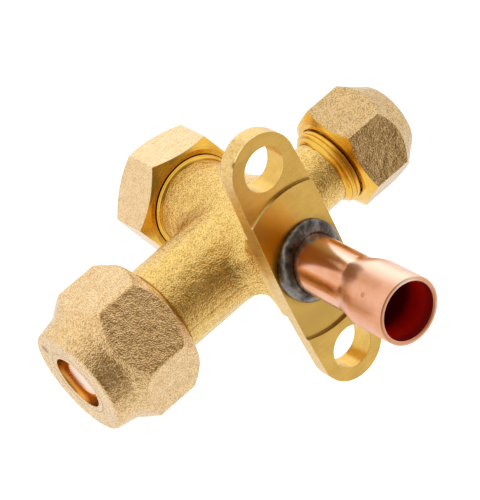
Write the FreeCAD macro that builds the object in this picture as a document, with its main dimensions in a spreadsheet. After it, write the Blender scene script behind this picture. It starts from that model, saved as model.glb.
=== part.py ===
import FreeCAD, Part
import os
import re
from math import atan2, cos, pi, sin

import Sketcher
from FreeCAD import Placement, Rotation, Vector

# Refrigerant service valve, three-way, for 3/8 inch pipe, in millimetres.
# X runs out of the flare port, Y out of the copper connection tube, Z up through the upper lug.
# The origin is on the tube's axis, in the machined face of the flange.

SIZES = {
    # Flange: two lugs, tapered towards their round ends, with a turned face between them
    "lug_pitch": 38.5,
    "lug_radius": 6.1,
    "lug_hole": 7.6,
    "flange_width": 13.4,
    "flange_depth": 4.25,
    "flange_skew": 0.5,
    "face_turning": 27.4,
    "upper_step": 0.5,
    "lower_step": 0.5,
    "forge_round": 1.7,
    # Body: the stem boss lies on Y, both side ports cross it on one line along X
    "port_depth": 14.7,
    "boss_diameter": 15.2,
    "boss_root": 16.0,
    "boss_taper_lead": 4.3,
    "hub_width": 13.24,
    "hub_flare": 2.6,
    "flare_width": 13.0,
    "flare_root_room": 2.225,
    "service_root_round": 3.5,
    # Stem port, under the stem cap
    "collar_diameter": 16.2,
    "stem_port_thread": 16.0,
    "stem_port_lip": 0.8,
    "collar_length": 1.05,
    "thread_undercut": 0.5,
    "undercut_width": 0.7,
    "thread_recess": 0.5,
    "lead_chamfer": 0.6,
    # Flow bores
    "tube_socket_depth": 5.0,
    "flow_bore": 6.0,
    "seat_depth": 9.0,
    "chamber_bore": 8.5,
    "stem_thread": 10.0,
    "thread_lead": 4.0,
    "gland_lead": 1.2,
    "gland_bore": 10.6,
    "ring_groove": 11.8,
    "ring_reach": 20.7,
    "ring_thickness": 0.8,
    # Flare port
    "flare_neck": 15.6,
    "flare_neck_root": 15.75,
    "flare_neck_end": 20.9,
    "flare_thread": 15.88,
    "flare_thread_length": 10.1,
    "nose_diameter": 13.8,
    "nose_tip": 7.8,
    "nose_land": 0.4,
    "flare_bore": 6.0,
    # Service port
    "service_neck": 11.2,
    "service_neck_root": 11.9,
    "service_neck_end": 15.5,
    "service_collar": 13.4,
    "service_collar_length": 2.4,
    "service_thread": 12.7,
    "service_port_length": 10.6,
    "service_passage": 3.6,
    # Copper connection tube with its swaged socket
    "tube_diameter": 9.52,
    "tube_wall": 0.78,
    "pipe_clearance": 0.13,
    "bell_length": 8.9,
    "swage_start": 11.9,
    "swage_length": 4.0,
    "swage_round": 2.4,
    "braze_margin": 0.05,
    "braze_height": 2.2,
    # Flare nut
    "nut_across_flats": 22.0,
    "nut_turn": 8.0,
    "nut_lead": 3.68,
    "nut_length": 16.38,
    "nut_back_face": 21.6,
    "nut_bevel_back": 2.35,
    "nut_cone_length": 3.2,
    "nut_nose_length": 3.98,
    "nut_shoulder_diameter": 20.7,
    "nut_nose_diameter": 19.1,
    "nut_hole": 9.7,
    "nut_edge_round": 0.9,
    "nose_edge_round": 0.5,
    "nut_shoulder_round": 2.0,
    # Copper sealing bonnet under the flare nut
    "bonnet_wall": 0.8,
    "bonnet_turret": 6.9,
    "bonnet_recess": 0.85,
    "bonnet_round": 0.6,
    # Stem
    "stem_lift": 3.9,
    "stem_tip": 4.8,
    "stem_cone": 8.0,
    "stem_shank": 6.8,
    "stem_relief": 1.6,
    "stem_land_length": 4.2,
    "stem_head": 8.0,
    "stem_head_length": 2.0,
    "stem_key": 5.0,
    "stem_key_depth": 4.6,
    "gland_groove": 7.6,
    "gland_groove_width": 2.5,
    "o_ring_section": 1.44,
    "backup_thickness": 0.9,
    "ring_bore": 8.6,
    "ring_gap": 2.2,
    # Stem cap
    "stem_cap_flats": 19.0,
    "stem_cap_turn": 10.0,
    "stem_cap_length": 9.4,
    "stem_cap_mouth_face": 18.2,
    "stem_cap_bevel": 1.25,
    "stem_cap_end_face": 17.2,
    "stem_cap_end_bevel": 1.55,
    "stem_cap_bottom": 1.7,
    "stem_mouth_relief": 0.3,
    "mouth_relief_depth": 1.3,
    "washer_thickness": 0.95,
    "washer_bore": 11.2,
    "washer_diameter": 15.2,
    # Service cap
    "service_cap_flats": 17.0,
    "service_cap_turn": 45.6,
    "service_cap_length": 13.05,
    "service_cap_mouth_face": 15.6,
    "service_cap_bevel": 1.1,
    "service_cone_length": 2.95,
    "service_cap_dome": 14.8,
    "service_dome_height": 2.35,
    "service_dome_round": 2.0,
    "service_mouth_relief": 0.55,
    "service_relief_depth": 0.6,
    "service_cap_end_face": 11.4,
    "service_cap_bottom": 1.5,
    "gasket_thickness": 1.0,
    "gasket_diameter": 11.6,
    # Valve core in the service port
    "core_thread": 5.3,
    "core_thread_length": 6.9,
    "core_bore": 4.7,
    "core_bore_length": 9.2,
    "core_bore_lead": 0.3,
    "core_plug_length": 4.4,
    "core_plug_hole": 2.6,
    "core_slot": 1.2,
    "core_barrel": 4.1,
    "core_barrel_length": 6.4,
    "core_barrel_bore": 2.9,
    "core_gasket_width": 1.3,
    "core_spring_depth": 1.0,
    "core_pin": 1.2,
    "core_pin_head": 1.9,
    "core_pin_recess": 0.7,
    "core_pin_collar": 2.0,
    "core_cup": 3.2,
    "core_cup_depth": 1.3,
    "core_seal_thickness": 0.6,
    "spring_wire": 0.28,
    "spring_turns": 5.0,
    # Clearances: between turned pieces that move, between fixed ones, and at seats that touch
    "running_gap": 0.05,
    "fixed_gap": 0.03,
    "seat_gap": 0.05,
    # How far a cut runs past the face that it opens
    "cut_margin": 1.0,
}

# Directions of the ports: each piece is modelled with its own +Z pointing out of its port
TUBE_PORT = Rotation(Vector(1, 0, 0), -90)
STEM_PORT = Rotation(Vector(1, 0, 0), 90)
FLARE_PORT = Rotation(Vector(1, 1, 1), 120)
SERVICE_PORT = Rotation(Vector(1, 1, -1), -120)
FULL_TURN = 360
NEAR = 0.02

# Heights along the stem port, from the snap ring outwards to the cap, then back to the boss
RING_DEPTH = "(port_depth + ring_reach)"
STEM_PORT_END = f"({RING_DEPTH} + ring_thickness + stem_port_lip)"
CAP_FLOOR = f"({STEM_PORT_END} + washer_thickness + 2 * seat_gap)"
CAP_END = f"({CAP_FLOOR} + stem_cap_bottom)"
CAP_MOUTH = f"({CAP_END} - stem_cap_length)"
BOSS_END = f"({CAP_MOUTH} - collar_length)"
THREAD_START = "(port_depth + thread_lead)"
LAND_END = f"({RING_DEPTH} - stem_lift - 2 * seat_gap)"
LAND_START = f"({LAND_END} - stem_land_length)"

# Heights along the flare port, from its neck to its nose, and of the nut and bonnet on it
FLARE_THREAD_END = "(flare_neck_end + flare_thread_length)"
NOSE_START = f"({FLARE_THREAD_END} + lead_chamfer + nose_land)"
NOSE_END = f"({NOSE_START} + (nose_diameter - nose_tip) / 2)"
NUT_FRONT = f"({NOSE_END} + nut_lead)"
NUT_SHOULDER = f"({NUT_FRONT} - nut_nose_length)"
NUT_BEVEL = f"({NUT_SHOULDER} - nut_cone_length)"
NUT_BACK = f"({NUT_FRONT} - nut_length)"
BONNET_TOP = f"({NUT_FRONT} - bonnet_recess)"

# Heights along the service port, and of the cap and the valve core in it
SERVICE_COLLAR_END = "(service_neck_end + service_collar_length)"
SERVICE_PORT_END = f"({SERVICE_COLLAR_END} + service_port_length)"
SERVICE_FLOOR = f"({SERVICE_PORT_END} + gasket_thickness + 2 * seat_gap)"
SERVICE_CAP_END = f"({SERVICE_FLOOR} + service_cap_bottom)"
SERVICE_DOME_START = f"({SERVICE_CAP_END} - service_dome_height)"
SERVICE_SHOULDER = f"({SERVICE_DOME_START} - service_cone_length)"
SERVICE_MOUTH = f"({SERVICE_CAP_END} - service_cap_length)"
CORE_THREAD_START = f"({SERVICE_PORT_END} - core_thread_length)"
CORE_BORE_START = f"({CORE_THREAD_START} - core_bore_length)"
CORE_BARREL_START = f"({CORE_THREAD_START} - core_barrel_length)"
CORE_PIN_END = f"({SERVICE_PORT_END} - core_pin_recess)"

# The flare neck's root fillet fills what the boss leaves free on both sides of the neck
FLARE_ROOT_ROUND = f"min(port_depth; {BOSS_END} - port_depth) - flare_neck_root / 2 - flare_root_room"

BRAZE_EDGE = "(flange_width / 2 - braze_margin)"
BRAZE_WIDTH = f"({BRAZE_EDGE} - tube_diameter / 2)"
BELL = "(tube_diameter + 2 * tube_wall + 2 * pipe_clearance)"
TUBE_END = "(swage_start + swage_length + bell_length)"

os.makedirs("parts", exist_ok=True)
doc = FreeCAD.newDocument("ServiceValve")

dims = doc.addObject("Spreadsheet::Sheet", "dims")
for row, (alias, number) in enumerate(SIZES.items(), start=1):
    dims.set(f"A{row}", alias)
    dims.set(f"B{row}", str(number))
    dims.setAlias(f"B{row}", alias)
doc.recompute()


def formula(text):
    """A formula of size names, written with the sheet's cells."""
    return re.sub(r"[a-z]+(_[a-z]+)+", lambda name: "dims." + name.group(), text)


def new_piece(name, port=Rotation(), depth="0"):
    """A piece with its own name, turned to its port and dropped to the port's depth."""
    body = doc.addObject("PartDesign::Body", name)
    body.Label = name
    body.Placement = Placement(Vector(), port)
    body.setExpression("Placement.Base.y", formula(depth))
    return body


def new_sketch(body, name, plane="XZ_Plane", forward="0", upward="0"):
    """A sketch on one of the piece's own planes, moved off it or up in it by a formula."""
    sketch = body.newObject("Sketcher::SketchObject", name)
    support = next(item for item in body.Origin.OriginFeatures if item.Role == plane)
    sketch.AttachmentSupport = [(support, "")]
    sketch.MapMode = "FlatFace"
    sketch.setExpression("AttachmentOffset.Base.z", formula(forward))
    sketch.setExpression("AttachmentOffset.Base.y", formula(upward))
    return sketch


def limit(sketch, kind, shape, point, text):
    """A dimension in the sketch, from where it is drawn to where the formula puts it."""
    drawn = sketch.Geometry[shape]
    if kind == "Radius":
        number = sketch.addConstraint(Sketcher.Constraint(kind, shape, drawn.Radius))
    else:
        place = sketch.getPoint(shape, point)
        start = place.x if kind == "DistanceX" else place.y
        number = sketch.addConstraint(Sketcher.Constraint(kind, shape, point, start))
    sketch.setExpression(f"Constraints[{number}]", formula(text))


def draw_corners(sketch, corners):
    """A closed outline of straight lines through corners that formulas place."""
    count = len(corners)
    spots = [Vector(cos(2 * pi * k / count), sin(2 * pi * k / count)) for k in range(count)]
    sides = [
        sketch.addGeometry(Part.LineSegment(spot, after))
        for spot, after in zip(spots, spots[1:] + spots[:1])
    ]
    for side, after in zip(sides, sides[1:] + sides[:1]):
        sketch.addConstraint(Sketcher.Constraint("Coincident", side, 2, after, 1))
    for side, (across, up) in zip(sides, corners):
        limit(sketch, "DistanceX", side, 1, across)
        limit(sketch, "DistanceY", side, 1, up)


def draw_circle(sketch, across, up, radius):
    """A circle whose centre and radius are formulas."""
    circle = sketch.addGeometry(Part.Circle(Vector(), Vector(0, 0, 1), 1.0))
    limit(sketch, "DistanceX", circle, 3, across)
    limit(sketch, "DistanceY", circle, 3, up)
    limit(sketch, "Radius", circle, 0, radius)


def turned(body, name, corners, cut=False, plane="XZ_Plane", axis="V_Axis", forward="0"):
    """A turned form, or a turned cut, whose half section has these corners."""
    sketch = new_sketch(body, name + "_section", plane, forward)
    draw_corners(sketch, corners)
    return spin(body, name, sketch, cut, axis)


def spin(body, name, sketch, cut=False, axis="V_Axis"):
    feature = body.newObject("PartDesign::Groove" if cut else "PartDesign::Revolution", name)
    feature.Profile = sketch
    feature.ReferenceAxis = (sketch, [axis])
    feature.Angle = FULL_TURN
    return feature


def polygon(reach, count, turn):
    """Corners of a regular polygon at this reach, the first one turned from the sketch's own X."""
    angles = [f"({turn} + {FULL_TURN // count * corner})" for corner in range(count)]
    return [(f"{reach} * cos{angle}", f"{reach} * sin{angle}") for angle in angles]


def hexagon(flats, turn):
    return polygon(f"{flats} / 2 / cos(30)", 6, turn)


def hexagonal(body, name, flats, turn, start, end):
    """A hexagonal bar between two heights."""
    sketch = new_sketch(body, name + "_section", "XY_Plane", forward=start)
    draw_corners(sketch, hexagon(flats, turn))
    bar = body.newObject("PartDesign::Pad", name)
    bar.Profile = sketch
    bar.setExpression("Length", formula(f"({end}) - ({start})"))
    return bar


def pocket(body, name, sketch, length, both_ways=False):
    """A straight cut into the piece, against the sketch's normal."""
    feature = body.newObject("PartDesign::Pocket", name)
    feature.Profile = sketch
    feature.Midplane = both_ways
    feature.setExpression("Length", formula(length))
    return feature


def rounded(body, name, radius, wanted):
    """A fillet on those edges of the piece so far that the test picks."""
    doc.recompute()
    base = body.Tip
    picked = [f"Edge{n}" for n, edge in enumerate(base.Shape.Edges, start=1) if wanted(edge)]
    fillet = body.newObject("PartDesign::Fillet", name)
    fillet.Base = (base, picked)
    fillet.setExpression("Radius", formula(radius))
    return fillet


def is_ring(edge, diameter):
    """Whether an edge is a circle of this diameter."""
    return isinstance(edge.Curve, Part.Circle) and abs(2 * edge.Curve.Radius - diameter) < NEAR


def is_end_ring(edge, diameter, body):
    """Whether an edge is the circle of this diameter in the outer end of the piece so far."""
    return is_ring(edge, diameter) and abs(edge.Curve.Center.z - body.Tip.Shape.BoundBox.ZMax) < NEAR


def is_upright(edge):
    """Whether an edge runs along the piece's own Z."""
    span = edge.Vertexes[-1].Point - edge.Vertexes[0].Point
    return span.z and (span.x ** 2 + span.y ** 2) ** 0.5 < NEAR and edge.Curve.TypeId == "Part::GeomLine"


# Flange of the valve body, forged in one with it; depths below its face are negative Y
flange = new_piece("flange_form")


def flange_outline(sketch):
    """Two lug arcs joined by two long side arcs, all tangent."""
    half_pitch = dims.lug_pitch / 2
    half_width = dims.flange_width / 2
    lug = dims.lug_radius
    side = (half_width ** 2 + half_pitch ** 2 - lug ** 2) / (2 * (half_width - lug))
    lean = atan2(half_pitch, side - half_width)
    upright = Vector(0, 0, 1)
    for centre, radius, start in (
        (Vector(0, half_pitch), lug, lean),
        (Vector(side - half_width, 0), side, pi - lean),
        (Vector(0, -half_pitch), lug, pi + lean),
        (Vector(half_width - side, 0), side, -lean),
    ):
        sweep = pi - 2 * lean if radius == lug else 2 * lean
        sketch.addGeometry(Part.ArcOfCircle(Part.Circle(centre, upright, radius), start, start + sweep))
    for arc in range(4):
        sketch.addConstraint(Sketcher.Constraint("Tangent", arc, 2, (arc + 1) % 4, 1))
    for arc, height in ((0, "lug_pitch / 2"), (2, "-lug_pitch / 2")):
        limit(sketch, "DistanceX", arc, 3, "0")
        limit(sketch, "DistanceY", arc, 3, height)
        limit(sketch, "Radius", arc, 0, "lug_radius")
    bulge = "((flange_width / 2) ^ 2 + (lug_pitch / 2) ^ 2 - lug_radius ^ 2) / (flange_width - 2 * lug_radius)"
    for arc in (1, 3):
        limit(sketch, "Radius", arc, 0, bulge)


plate_sketch = new_sketch(flange, "plate_section", forward="-lower_step")
flange_outline(plate_sketch)
plate = flange.newObject("PartDesign::Pad", "plate")
plate.Profile = plate_sketch
plate.setExpression("Length", formula("lower_step + flange_depth + 3 * flange_skew"))

# The back of the forging leans: the upper lug sits deeper than the lower one
OVERHANG = "(lug_pitch / 2 + 2 * lug_radius)"
BACK_SLOPE = "flange_skew / (lug_pitch / 2)"
back_sketch = new_sketch(flange, "back_section", "YZ_Plane")
draw_corners(back_sketch, [
    (f"-flange_depth - {BACK_SLOPE} * {OVERHANG}", OVERHANG),
    (f"-flange_depth + {BACK_SLOPE} * {OVERHANG}", f"-{OVERHANG}"),
    ("-3 * flange_depth", f"-{OVERHANG}"),
    ("-3 * flange_depth", OVERHANG),
])
pocket(flange, "leaning_back", back_sketch, "2 * flange_width", both_ways=True)


def on_flange_back(edge):
    lean = dims.flange_skew / (dims.lug_pitch / 2)
    ends = [vertex.Point for vertex in edge.Vertexes]
    return all(abs(end.y + dims.flange_depth + lean * end.z) < NEAR for end in ends)


rounded(flange, "back_round", "forge_round", on_flange_back)


def lug_face(name, level, side):
    """Mills one lug's side of the flange down to a level, up to the arc of the turned face."""
    sketch = new_sketch(flange, name + "_section", forward=f"-({level})")
    half = dims.flange_width * 0.7
    rise = side * (dims.face_turning ** 2 / 4 - half ** 2) ** 0.5
    top = dims.lug_pitch
    turning = Part.Circle(Vector(), Vector(0, 0, 1), dims.face_turning / 2)
    lean = atan2(abs(rise), half)
    start, end = (lean, pi - lean) if side > 0 else (pi + lean, 2 * pi - lean)
    sketch.addGeometry(Part.ArcOfCircle(turning, start, end))
    right, left = Vector(half, rise), Vector(-half, rise)
    first, last = (right, left) if side > 0 else (left, right)
    corners = [last, Vector(last.x, top), Vector(first.x, top), first]
    for line in range(3):
        sketch.addGeometry(Part.LineSegment(corners[line], corners[line + 1]))
    for line in range(4):
        sketch.addConstraint(Sketcher.Constraint("Coincident", line, 2, (line + 1) % 4, 1))
    limit(sketch, "DistanceX", 0, 3, "0")
    limit(sketch, "DistanceY", 0, 3, "0")
    limit(sketch, "Radius", 0, 0, "face_turning / 2")
    for line, point, hand in ((0, 2, -side), (2, 1, -side), (2, 2, side), (3, 2, side)):
        limit(sketch, "DistanceX", line, point, f"{hand} * 0.7 * flange_width")
    for point in (1, 2):
        limit(sketch, "DistanceY", 2, point, "lug_pitch")
    pocket(flange, name, sketch, f"lower_step - ({level}) + cut_margin")


lug_face("turned_face", "0", -1)
lug_face("upper_lug_face", "-upper_step", 1)


def hub_sides(body, name, top, bottom, width):
    """Cuts both sides of the hub flat, flush with the flange's own sides."""
    sketch = new_sketch(body, name + "_section", forward=bottom)
    for hand in ("", "-"):
        draw_corners(sketch, [
            (f"{hand}{width} / 2", "-boss_root"),
            (f"{hand}boss_root", "-boss_root"),
            (f"{hand}boss_root", "boss_root"),
            (f"{hand}{width} / 2", "boss_root"),
        ])
    pocket(body, name, sketch, f"{bottom} - ({top})")


# A flare under the flange, where the round hub runs into its back
FLARE_TOP = "(flange_depth - forge_round + fixed_gap)"
FLARE_CURVE = [(0, 1), (0.08, 0.61), (0.27, 0.32), (0.54, 0.11), (1, 0)]
turned(flange, "hub_flare_form", [
    (f"-{FLARE_TOP}", "0"),
    (f"-{FLARE_TOP}", "boss_root / 2 + hub_flare"),
    *((f"-flange_depth - hub_flare * {down}", f"boss_root / 2 + hub_flare * {out}")
      for down, out in FLARE_CURVE),
    ("-flange_depth - hub_flare", "0"),
], plane="YZ_Plane", axis="H_Axis")
hub_sides(flange, "hub_flare_sides", FLARE_TOP, "(flange_depth + 2 * hub_flare)", "flare_width")

hole_sketch = new_sketch(flange, "lug_hole_section")
for height in ("lug_pitch / 2", "-lug_pitch / 2"):
    draw_circle(hole_sketch, "0", height, "lug_hole / 2")
pocket(flange, "lug_holes", hole_sketch, "6 * flange_depth", both_ways=True)

# Valve body: stem boss and two necks with their forged root fillets, joined to the flange
valve_body = new_piece("valve_body")
turned(valve_body, "stem_boss", [
    ("-2 * upper_step", "0"),
    ("-2 * upper_step", "boss_root / 2"),
    ("-port_depth - boss_taper_lead", "boss_root / 2"),
    (f"-{BOSS_END}", "boss_diameter / 2"),
    (f"-{BOSS_END} - (collar_diameter - boss_diameter) / 2", "collar_diameter / 2"),
    (f"-{CAP_MOUTH} - thread_recess", "collar_diameter / 2"),
    (f"-{CAP_MOUTH} - thread_recess", "stem_port_thread / 2 - thread_undercut"),
    (f"-{CAP_MOUTH} - thread_recess - undercut_width", "stem_port_thread / 2 - thread_undercut"),
    (f"-{CAP_MOUTH} - thread_recess - undercut_width", "stem_port_thread / 2"),
    (f"-{STEM_PORT_END} + lead_chamfer", "stem_port_thread / 2"),
    (f"-{STEM_PORT_END}", "stem_port_thread / 2 - lead_chamfer"),
    (f"-{STEM_PORT_END}", "0"),
], plane="YZ_Plane", axis="H_Axis")
hub_sides(valve_body, "boss_sides", "0", "port_depth", "hub_width")

turned(valve_body, "flare_neck_form", [
    ("0", "0"),
    ("0", "flare_neck_root / 2"),
    ("flare_neck_end", "flare_neck / 2"),
    ("flare_neck_end", "flare_thread / 2 - thread_undercut"),
    ("flare_neck_end + 2 * undercut_width", "flare_thread / 2 - thread_undercut"),
    ("flare_neck_end + 2 * undercut_width", "flare_thread / 2"),
    (FLARE_THREAD_END, "flare_thread / 2"),
    (f"{FLARE_THREAD_END} + lead_chamfer", "nose_diameter / 2"),
    (NOSE_START, "nose_diameter / 2"),
    (NOSE_END, "nose_tip / 2"),
    (NOSE_END, "0"),
], axis="H_Axis", forward="port_depth")

turned(valve_body, "service_neck_form", [
    ("0", "0"),
    ("0", "service_neck_root / 2"),
    ("-service_neck_end", "service_neck / 2"),
    ("-service_neck_end - (service_collar - service_neck) / 2", "service_collar / 2"),
    (f"-{SERVICE_COLLAR_END}", "service_collar / 2"),
    (f"-{SERVICE_COLLAR_END}", "service_thread / 2 - thread_undercut"),
    (f"-{SERVICE_COLLAR_END} - undercut_width", "service_thread / 2 - thread_undercut"),
    (f"-{SERVICE_COLLAR_END} - undercut_width", "service_thread / 2"),
    (f"-{SERVICE_PORT_END} + lead_chamfer", "service_thread / 2"),
    (f"-{SERVICE_PORT_END}", "service_thread / 2 - lead_chamfer"),
    (f"-{SERVICE_PORT_END}", "0"),
], axis="H_Axis", forward="port_depth")


def neck_root(hand, root, end, length):
    """A test for the edges in which a tapered neck leaves the boss."""
    def wanted(edge):
        if edge.Curve.TypeId == "Part::GeomLine":
            return False
        reach = edge.LastParameter - edge.FirstParameter
        for part in range(7):
            spot = edge.valueAt(edge.FirstParameter + reach * part / 6)
            out = hand * spot.x
            radius = (root + (end - root) * out / length) / 2
            off = (spot.y + dims.port_depth) ** 2 + spot.z ** 2
            if not -NEAR < out < dims.boss_root * 0.6 or abs(off ** 0.5 - radius) > NEAR:
                return False
        return True
    return wanted


rounded(valve_body, "flare_root", FLARE_ROOT_ROUND,
        neck_root(1, dims.flare_neck_root, dims.flare_neck, dims.flare_neck_end))
rounded(valve_body, "service_root", "service_root_round",
        neck_root(-1, dims.service_neck_root, dims.service_neck, dims.service_neck_end))

joined = valve_body.newObject("PartDesign::Boolean", "flange_joined")
joined.Type = "Fuse"
joined.addObjects([flange])

turned(valve_body, "stem_bore", [
    ("cut_margin", "0"),
    ("cut_margin", "tube_diameter / 2 + fixed_gap"),
    ("-tube_socket_depth", "tube_diameter / 2 + fixed_gap"),
    ("-tube_socket_depth", "flow_bore / 2"),
    ("-seat_depth", "flow_bore / 2"),
    ("-seat_depth - (chamber_bore - flow_bore) / 2", "chamber_bore / 2"),
    (f"-{THREAD_START}", "chamber_bore / 2"),
    (f"-{THREAD_START}", "stem_thread / 2 + running_gap"),
    (f"-{LAND_START} + gland_lead", "stem_thread / 2 + running_gap"),
    (f"-{LAND_START} + gland_lead", "gland_bore / 2"),
    (f"-{RING_DEPTH} + fixed_gap", "gland_bore / 2"),
    (f"-{RING_DEPTH} + fixed_gap", "ring_groove / 2"),
    (f"-{RING_DEPTH} - ring_thickness - fixed_gap", "ring_groove / 2"),
    (f"-{RING_DEPTH} - ring_thickness - fixed_gap", "gland_bore / 2"),
    (f"-{STEM_PORT_END} - cut_margin", "gland_bore / 2"),
    (f"-{STEM_PORT_END} - cut_margin", "0"),
], cut=True, plane="YZ_Plane", axis="H_Axis")

turned(valve_body, "flare_way", [
    ("0", "0"),
    ("0", "flare_bore / 2"),
    (f"{NOSE_END} + cut_margin", "flare_bore / 2"),
    (f"{NOSE_END} + cut_margin", "0"),
], cut=True, axis="H_Axis", forward="port_depth")

turned(valve_body, "service_way", [
    ("0", "0"),
    ("0", "service_passage / 2"),
    (f"-{CORE_BORE_START}", "service_passage / 2"),
    (f"-{CORE_BORE_START}", "core_bore / 2"),
    (f"-{CORE_THREAD_START} + core_gasket_width + core_bore_lead", "core_bore / 2"),
    (f"-{CORE_THREAD_START}", "core_thread / 2 + fixed_gap"),
    (f"-{SERVICE_PORT_END} + lead_chamfer", "core_thread / 2 + fixed_gap"),
    (f"-{SERVICE_PORT_END} - lead_chamfer", "core_thread / 2 + fixed_gap + 2 * lead_chamfer"),
    (f"-{SERVICE_PORT_END} - lead_chamfer", "0"),
], cut=True, axis="H_Axis", forward="port_depth")

# Copper connection tube, swaged open at its outer end to take the pipe
copper_tube = new_piece("copper_tube", TUBE_PORT)
turned(copper_tube, "tube_wall_form", [
    ("tube_diameter / 2 - tube_wall", "-tube_socket_depth + seat_gap"),
    ("tube_diameter / 2", "-tube_socket_depth + seat_gap"),
    ("tube_diameter / 2", "swage_start"),
    (f"{BELL} / 2", "swage_start + swage_length"),
    (f"{BELL} / 2", TUBE_END),
    (f"{BELL} / 2 - tube_wall", TUBE_END),
    (f"{BELL} / 2 - tube_wall", "swage_start + swage_length"),
    ("tube_diameter / 2 - tube_wall", "swage_start"),
])
rounded(copper_tube, "swage", "swage_round", lambda edge: (
    isinstance(edge.Curve, Part.Circle)
    and -NEAR < edge.Curve.Center.z - dims.swage_start < dims.swage_length + NEAR
))

# Braze fillet that holds the tube in the flange
braze_ring = new_piece("braze_ring", TUBE_PORT)
turned(braze_ring, "braze_bead", [
    ("tube_diameter / 2 + fixed_gap", "fixed_gap"),
    (BRAZE_EDGE, "fixed_gap"),
    (BRAZE_EDGE, "braze_height * 0.3"),
    (f"{BRAZE_EDGE} - {BRAZE_WIDTH} * 0.5", "braze_height * 0.85"),
    (f"{BRAZE_EDGE} - {BRAZE_WIDTH} * 0.75", "braze_height"),
    ("tube_diameter / 2 + fixed_gap", "braze_height"),
])

# Flare nut: forged hexagon with a turned nose and a 45 degree inner cone
BONNET_FACE = f"({NOSE_END} + nose_tip / 2 + sqrt(2) * seat_gap)"
BONNET_BACK = f"({BONNET_FACE} + sqrt(2) * bonnet_wall)"
NUT_CONE = f"({BONNET_BACK} + sqrt(2) * seat_gap)"
NUT_CORNER = "nut_across_flats / 2 / cos(30)"

flare_nut = new_piece("flare_nut", FLARE_PORT, "-port_depth")
hexagonal(flare_nut, "nut_bar", "nut_across_flats", "nut_turn", NUT_BACK, NUT_FRONT)
rounded(flare_nut, "nut_corners", "nut_edge_round", is_upright)
turned(flare_nut, "nut_back_bevel", [
    ("nut_back_face / 2", NUT_BACK),
    (NUT_CORNER, f"{NUT_BACK} + nut_bevel_back"),
    (f"{NUT_CORNER} + cut_margin", f"{NUT_BACK} + nut_bevel_back"),
    (f"{NUT_CORNER} + cut_margin", f"{NUT_BACK} - cut_margin"),
    ("nut_back_face / 2", f"{NUT_BACK} - cut_margin"),
], cut=True)
turned(flare_nut, "nut_nose", [
    ("nut_nose_diameter / 2", f"{NUT_FRONT} + cut_margin"),
    ("nut_nose_diameter / 2", NUT_FRONT),
    ("nut_shoulder_diameter / 2", NUT_SHOULDER),
    (NUT_CORNER, NUT_BEVEL),
    (f"{NUT_CORNER} + cut_margin", NUT_BEVEL),
    (f"{NUT_CORNER} + cut_margin", f"{NUT_FRONT} + cut_margin"),
], cut=True)
rounded(flare_nut, "nose_edge", "nose_edge_round",
        lambda edge: is_end_ring(edge, dims.nut_nose_diameter, flare_nut))
rounded(flare_nut, "nut_shoulder_blend", "nut_shoulder_round",
        lambda edge: is_ring(edge, dims.nut_shoulder_diameter))
turned(flare_nut, "nut_thread_bore", [
    ("0", f"{NUT_BACK} - cut_margin"),
    ("flare_thread / 2 + thread_undercut", f"{NUT_BACK} - cut_margin"),
    ("flare_thread / 2 + thread_undercut", f"{NUT_BACK} + undercut_width"),
    ("flare_thread / 2 + running_gap", f"{NUT_BACK} + 2 * undercut_width"),
    ("flare_thread / 2 + running_gap", f"{NUT_CONE} - flare_thread / 2 - running_gap"),
    ("nut_hole / 2", f"{NUT_CONE} - nut_hole / 2"),
    ("nut_hole / 2", f"{NUT_FRONT} + cut_margin"),
    ("0", f"{NUT_FRONT} + cut_margin"),
], cut=True)

# Copper bonnet, pressed from sheet, that the nut clamps on the flare to seal the port
flare_bonnet = new_piece("flare_bonnet", FLARE_PORT, "-port_depth")
turned(flare_bonnet, "bonnet_shell", [
    ("nose_diameter / 2", f"{BONNET_FACE} - nose_diameter / 2"),
    ("bonnet_turret / 2 - bonnet_wall", f"{BONNET_FACE} - bonnet_turret / 2 + bonnet_wall"),
    ("bonnet_turret / 2 - bonnet_wall", f"{BONNET_TOP} - bonnet_wall"),
    ("0", f"{BONNET_TOP} - bonnet_wall"),
    ("0", BONNET_TOP),
    ("bonnet_turret / 2", BONNET_TOP),
    ("bonnet_turret / 2", f"{BONNET_BACK} - bonnet_turret / 2"),
    ("nose_diameter / 2", f"{BONNET_BACK} - nose_diameter / 2"),
])
rounded(flare_bonnet, "bonnet_crown", "bonnet_round",
        lambda edge: is_end_ring(edge, dims.bonnet_turret, flare_bonnet))

# Stem: cone that shuts on the seat, thread, sealed land and a head with a hexagon socket
SEAT_LINE = "(seat_depth - flow_bore / 2 + sqrt(2) * seat_gap)"
GLAND_START = f"({LAND_START} + (stem_land_length - gland_groove_width) / 2)"
THREAD_LOW = f"({THREAD_START} + 4 * running_gap)"

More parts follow.
